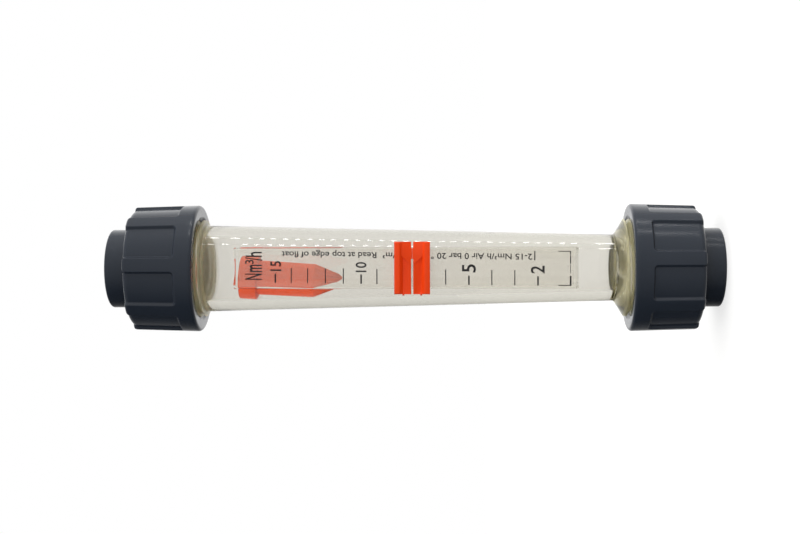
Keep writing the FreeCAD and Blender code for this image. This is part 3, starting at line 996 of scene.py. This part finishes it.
def floor_material():
    """Matt white painted board, bright enough to the eye that only a shadow shows on it."""
    material, tree = new_material("Painted board, matt white")
    ray = add_node(tree, "ShaderNodeLightPath").outputs
    eye = calculated(tree, "MULTIPLY", ray["Is Camera Ray"], EYE_LIFT)
    lift = calculated(tree, "MULTIPLY_ADD", ray["Is Transmission Ray"], THROUGH_LIFT, eye)
    paint = add_node(tree, "ShaderNodeBsdfDiffuse", {"Color": linear("A8A8A6")})
    glow = add_node(tree, "ShaderNodeEmission", None, {"Strength": lift})
    surfaced(tree, add_node(tree, "ShaderNodeAddShader", None,
                            {0: paint.outputs[0], 1: glow.outputs[0]}))
    return material


LAMP_ANGLES = (88.0, 66.5)  # where the strips hang, in degrees round from -Y towards +X
LAMP_AWAY = 0.45  # metres from the meter's axis
LAMP_LOW, LAMP_HIGH = 0.194, 0.149  # how far they reach down and up from the meter's middle
LAMP_HALF_WIDTH = 0.011
LAMP_PITCH = 0.008  # one lamp and one gap
LAMP_LIT = 0.42  # share of it that the lamp takes


def lamp_material():
    """Strip of small lamps: a lit bar at every step along it, dark board between."""
    material, tree = new_material("Lamp strip")
    place = place_on_piece(tree)
    along = add_node(tree, "ShaderNodeSeparateXYZ", None, {"Vector": place}).outputs["Z"]
    share = calculated(tree, "FRACT", calculated(tree, "MULTIPLY", along, 1 / LAMP_PITCH))
    lit = calculated(tree, "LESS_THAN", share, LAMP_LIT)
    level = calculated(tree, "MULTIPLY", lit, bpy.context.scene.rotameter.stage.strip_glow)
    surfaced(tree, add_node(tree, "ShaderNodeEmission", None, {"Strength": level}))
    return material


def flat_plate(name, corners, material):
    """A flat piece with these four corners."""
    mesh = bpy.data.meshes.new(name)
    mesh.from_pydata([tuple(corner) for corner in corners], [], [(0, 1, 2, 3)])
    mesh.materials.append(material)
    return placed(name, mesh)


def build_stage():
    """Camera, surroundings, floor and two lamp strips, which show only in the meter's gloss."""
    build_camera()
    build_world()
    half = bpy.context.scene.rotameter.stage.floor_width / 2
    corners = [(-half, -half, 0), (half, -half, 0), (half, half, 0), (-half, half, 0)]
    floor = flat_plate("floor", corners, floor_material())
    floor.visible_glossy = False  # or it would cut off the lamp strips that the gloss shows
    glow = lamp_material()
    for number, degrees in enumerate(LAMP_ANGLES):
        # each strip hangs beside the meter, turned towards it
        away = math.radians(degrees)
        out = Vector((math.sin(away), -math.cos(away), 0))
        width = Vector((math.cos(away), math.sin(away), 0)) * LAMP_HALF_WIDTH
        middle = out * LAMP_AWAY + Vector((0, 0, ALONG * MM / 2))
        low, high = middle - Vector((0, 0, LAMP_LOW)), middle + Vector((0, 0, LAMP_HIGH))
        corners = [low - width, low + width, high + width, high - width]
        strip = flat_plate(f"lamp_strip_{number}", corners, glow)
        strip.visible_camera = False
        strip.visible_transmission = False
    bpy.context.scene.view_settings.view_transform = "Standard"


# ---- add-on ----

class RotameterSettings(bpy.types.PropertyGroup):
    tube: bpy.props.PointerProperty(
        type=TubeSettings, name="Tube", description="Measuring tube")
    scale: bpy.props.PointerProperty(
        type=ScaleSettings, name="Scale", description="Printed scale")
    sliders: bpy.props.PointerProperty(
        type=SliderSettings, name="Sliders", description="Setpoint sliders")
    float_piece: bpy.props.PointerProperty(
        type=FloatSettings, name="Float", description="Float and stops")
    unions: bpy.props.PointerProperty(
        type=UnionSettings, name="Unions", description="Nuts and sockets")
    stage: bpy.props.PointerProperty(
        type=StageSettings, name="Stage", description="Camera, light and floor")


class ROTAMETER_OT_stage(bpy.types.Operator):
    """Set up camera, light and floor"""
    bl_idname = "rotameter.stage"
    bl_label = "Stage"

    def execute(self, context):
        build_stage()
        return {"FINISHED"}


class ROTAMETER_OT_measuring_tube(bpy.types.Operator):
    """Build the clear tube with its threads and its rail"""
    bl_idname = "rotameter.measuring_tube"
    bl_label = "Measuring tube"

    def execute(self, context):
        build_measuring_tube()
        return {"FINISHED"}


class ROTAMETER_OT_scale(bpy.types.Operator):
    """Finish the film and print the scale on it"""
    bl_idname = "rotameter.scale"
    bl_label = "Scale"

    def execute(self, context):
        build_scale()
        return {"FINISHED"}


class ROTAMETER_OT_sliders(bpy.types.Operator):
    """Build the two setpoint sliders"""
    bl_idname = "rotameter.sliders"
    bl_label = "Sliders"

    def execute(self, context):
        build_sliders()
        return {"FINISHED"}


class ROTAMETER_OT_float(bpy.types.Operator):
    """Finish the float and its stops"""
    bl_idname = "rotameter.float_piece"
    bl_label = "Float and stops"

    def execute(self, context):
        build_float()
        return {"FINISHED"}


class ROTAMETER_OT_union_nuts(bpy.types.Operator):
    """Build the two lobed union nuts"""
    bl_idname = "rotameter.union_nuts"
    bl_label = "Union nuts"

    def execute(self, context):
        build_union_nuts()
        return {"FINISHED"}


class ROTAMETER_OT_union_ends(bpy.types.Operator):
    """Finish the pipe sockets and their O-rings"""
    bl_idname = "rotameter.union_ends"
    bl_label = "Union ends"

    def execute(self, context):
        build_union_ends()
        return {"FINISHED"}


OPERATORS = (
    ROTAMETER_OT_stage, ROTAMETER_OT_measuring_tube, ROTAMETER_OT_scale, ROTAMETER_OT_sliders,
    ROTAMETER_OT_float, ROTAMETER_OT_union_nuts, ROTAMETER_OT_union_ends,
)


class ROTAMETER_PT_panel(bpy.types.Panel):
    """Sizes, colours and pieces of the meter"""
    bl_idname = "ROTAMETER_PT_panel"
    bl_label = "Rotameter"
    bl_space_type = "VIEW_3D"
    bl_region_type = "UI"
    bl_category = "Rotameter"

    def draw(self, context):
        settings = context.scene.rotameter
        for group in ("tube", "scale", "sliders", "float_piece", "unions", "stage"):
            box = self.layout.box()
            box.label(text=settings.bl_rna.properties[group].name)
            values = getattr(settings, group)
            for name in values.__annotations__:
                box.prop(values, name)
        for operator in OPERATORS:
            self.layout.operator(operator.bl_idname)


CLASSES = (
    TubeSettings, ScaleSettings, SliderSettings, FloatSettings, UnionSettings, StageSettings,
    RotameterSettings, *OPERATORS, ROTAMETER_PT_panel,
)


def register():
    for item in CLASSES:
        bpy.utils.register_class(item)
    bpy.types.Scene.rotameter = bpy.props.PointerProperty(type=RotameterSettings)


def unregister():
    del bpy.types.Scene.rotameter
    for item in reversed(CLASSES):
        bpy.utils.unregister_class(item)


def main():
    register()
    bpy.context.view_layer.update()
    bpy.ops.rotameter.stage()
    bpy.ops.rotameter.measuring_tube()
    bpy.ops.rotameter.scale()
    bpy.ops.rotameter.sliders()
    bpy.ops.rotameter.float_piece()
    bpy.ops.rotameter.union_nuts()
    bpy.ops.rotameter.union_ends()


if __name__ == "__main__":
    main()
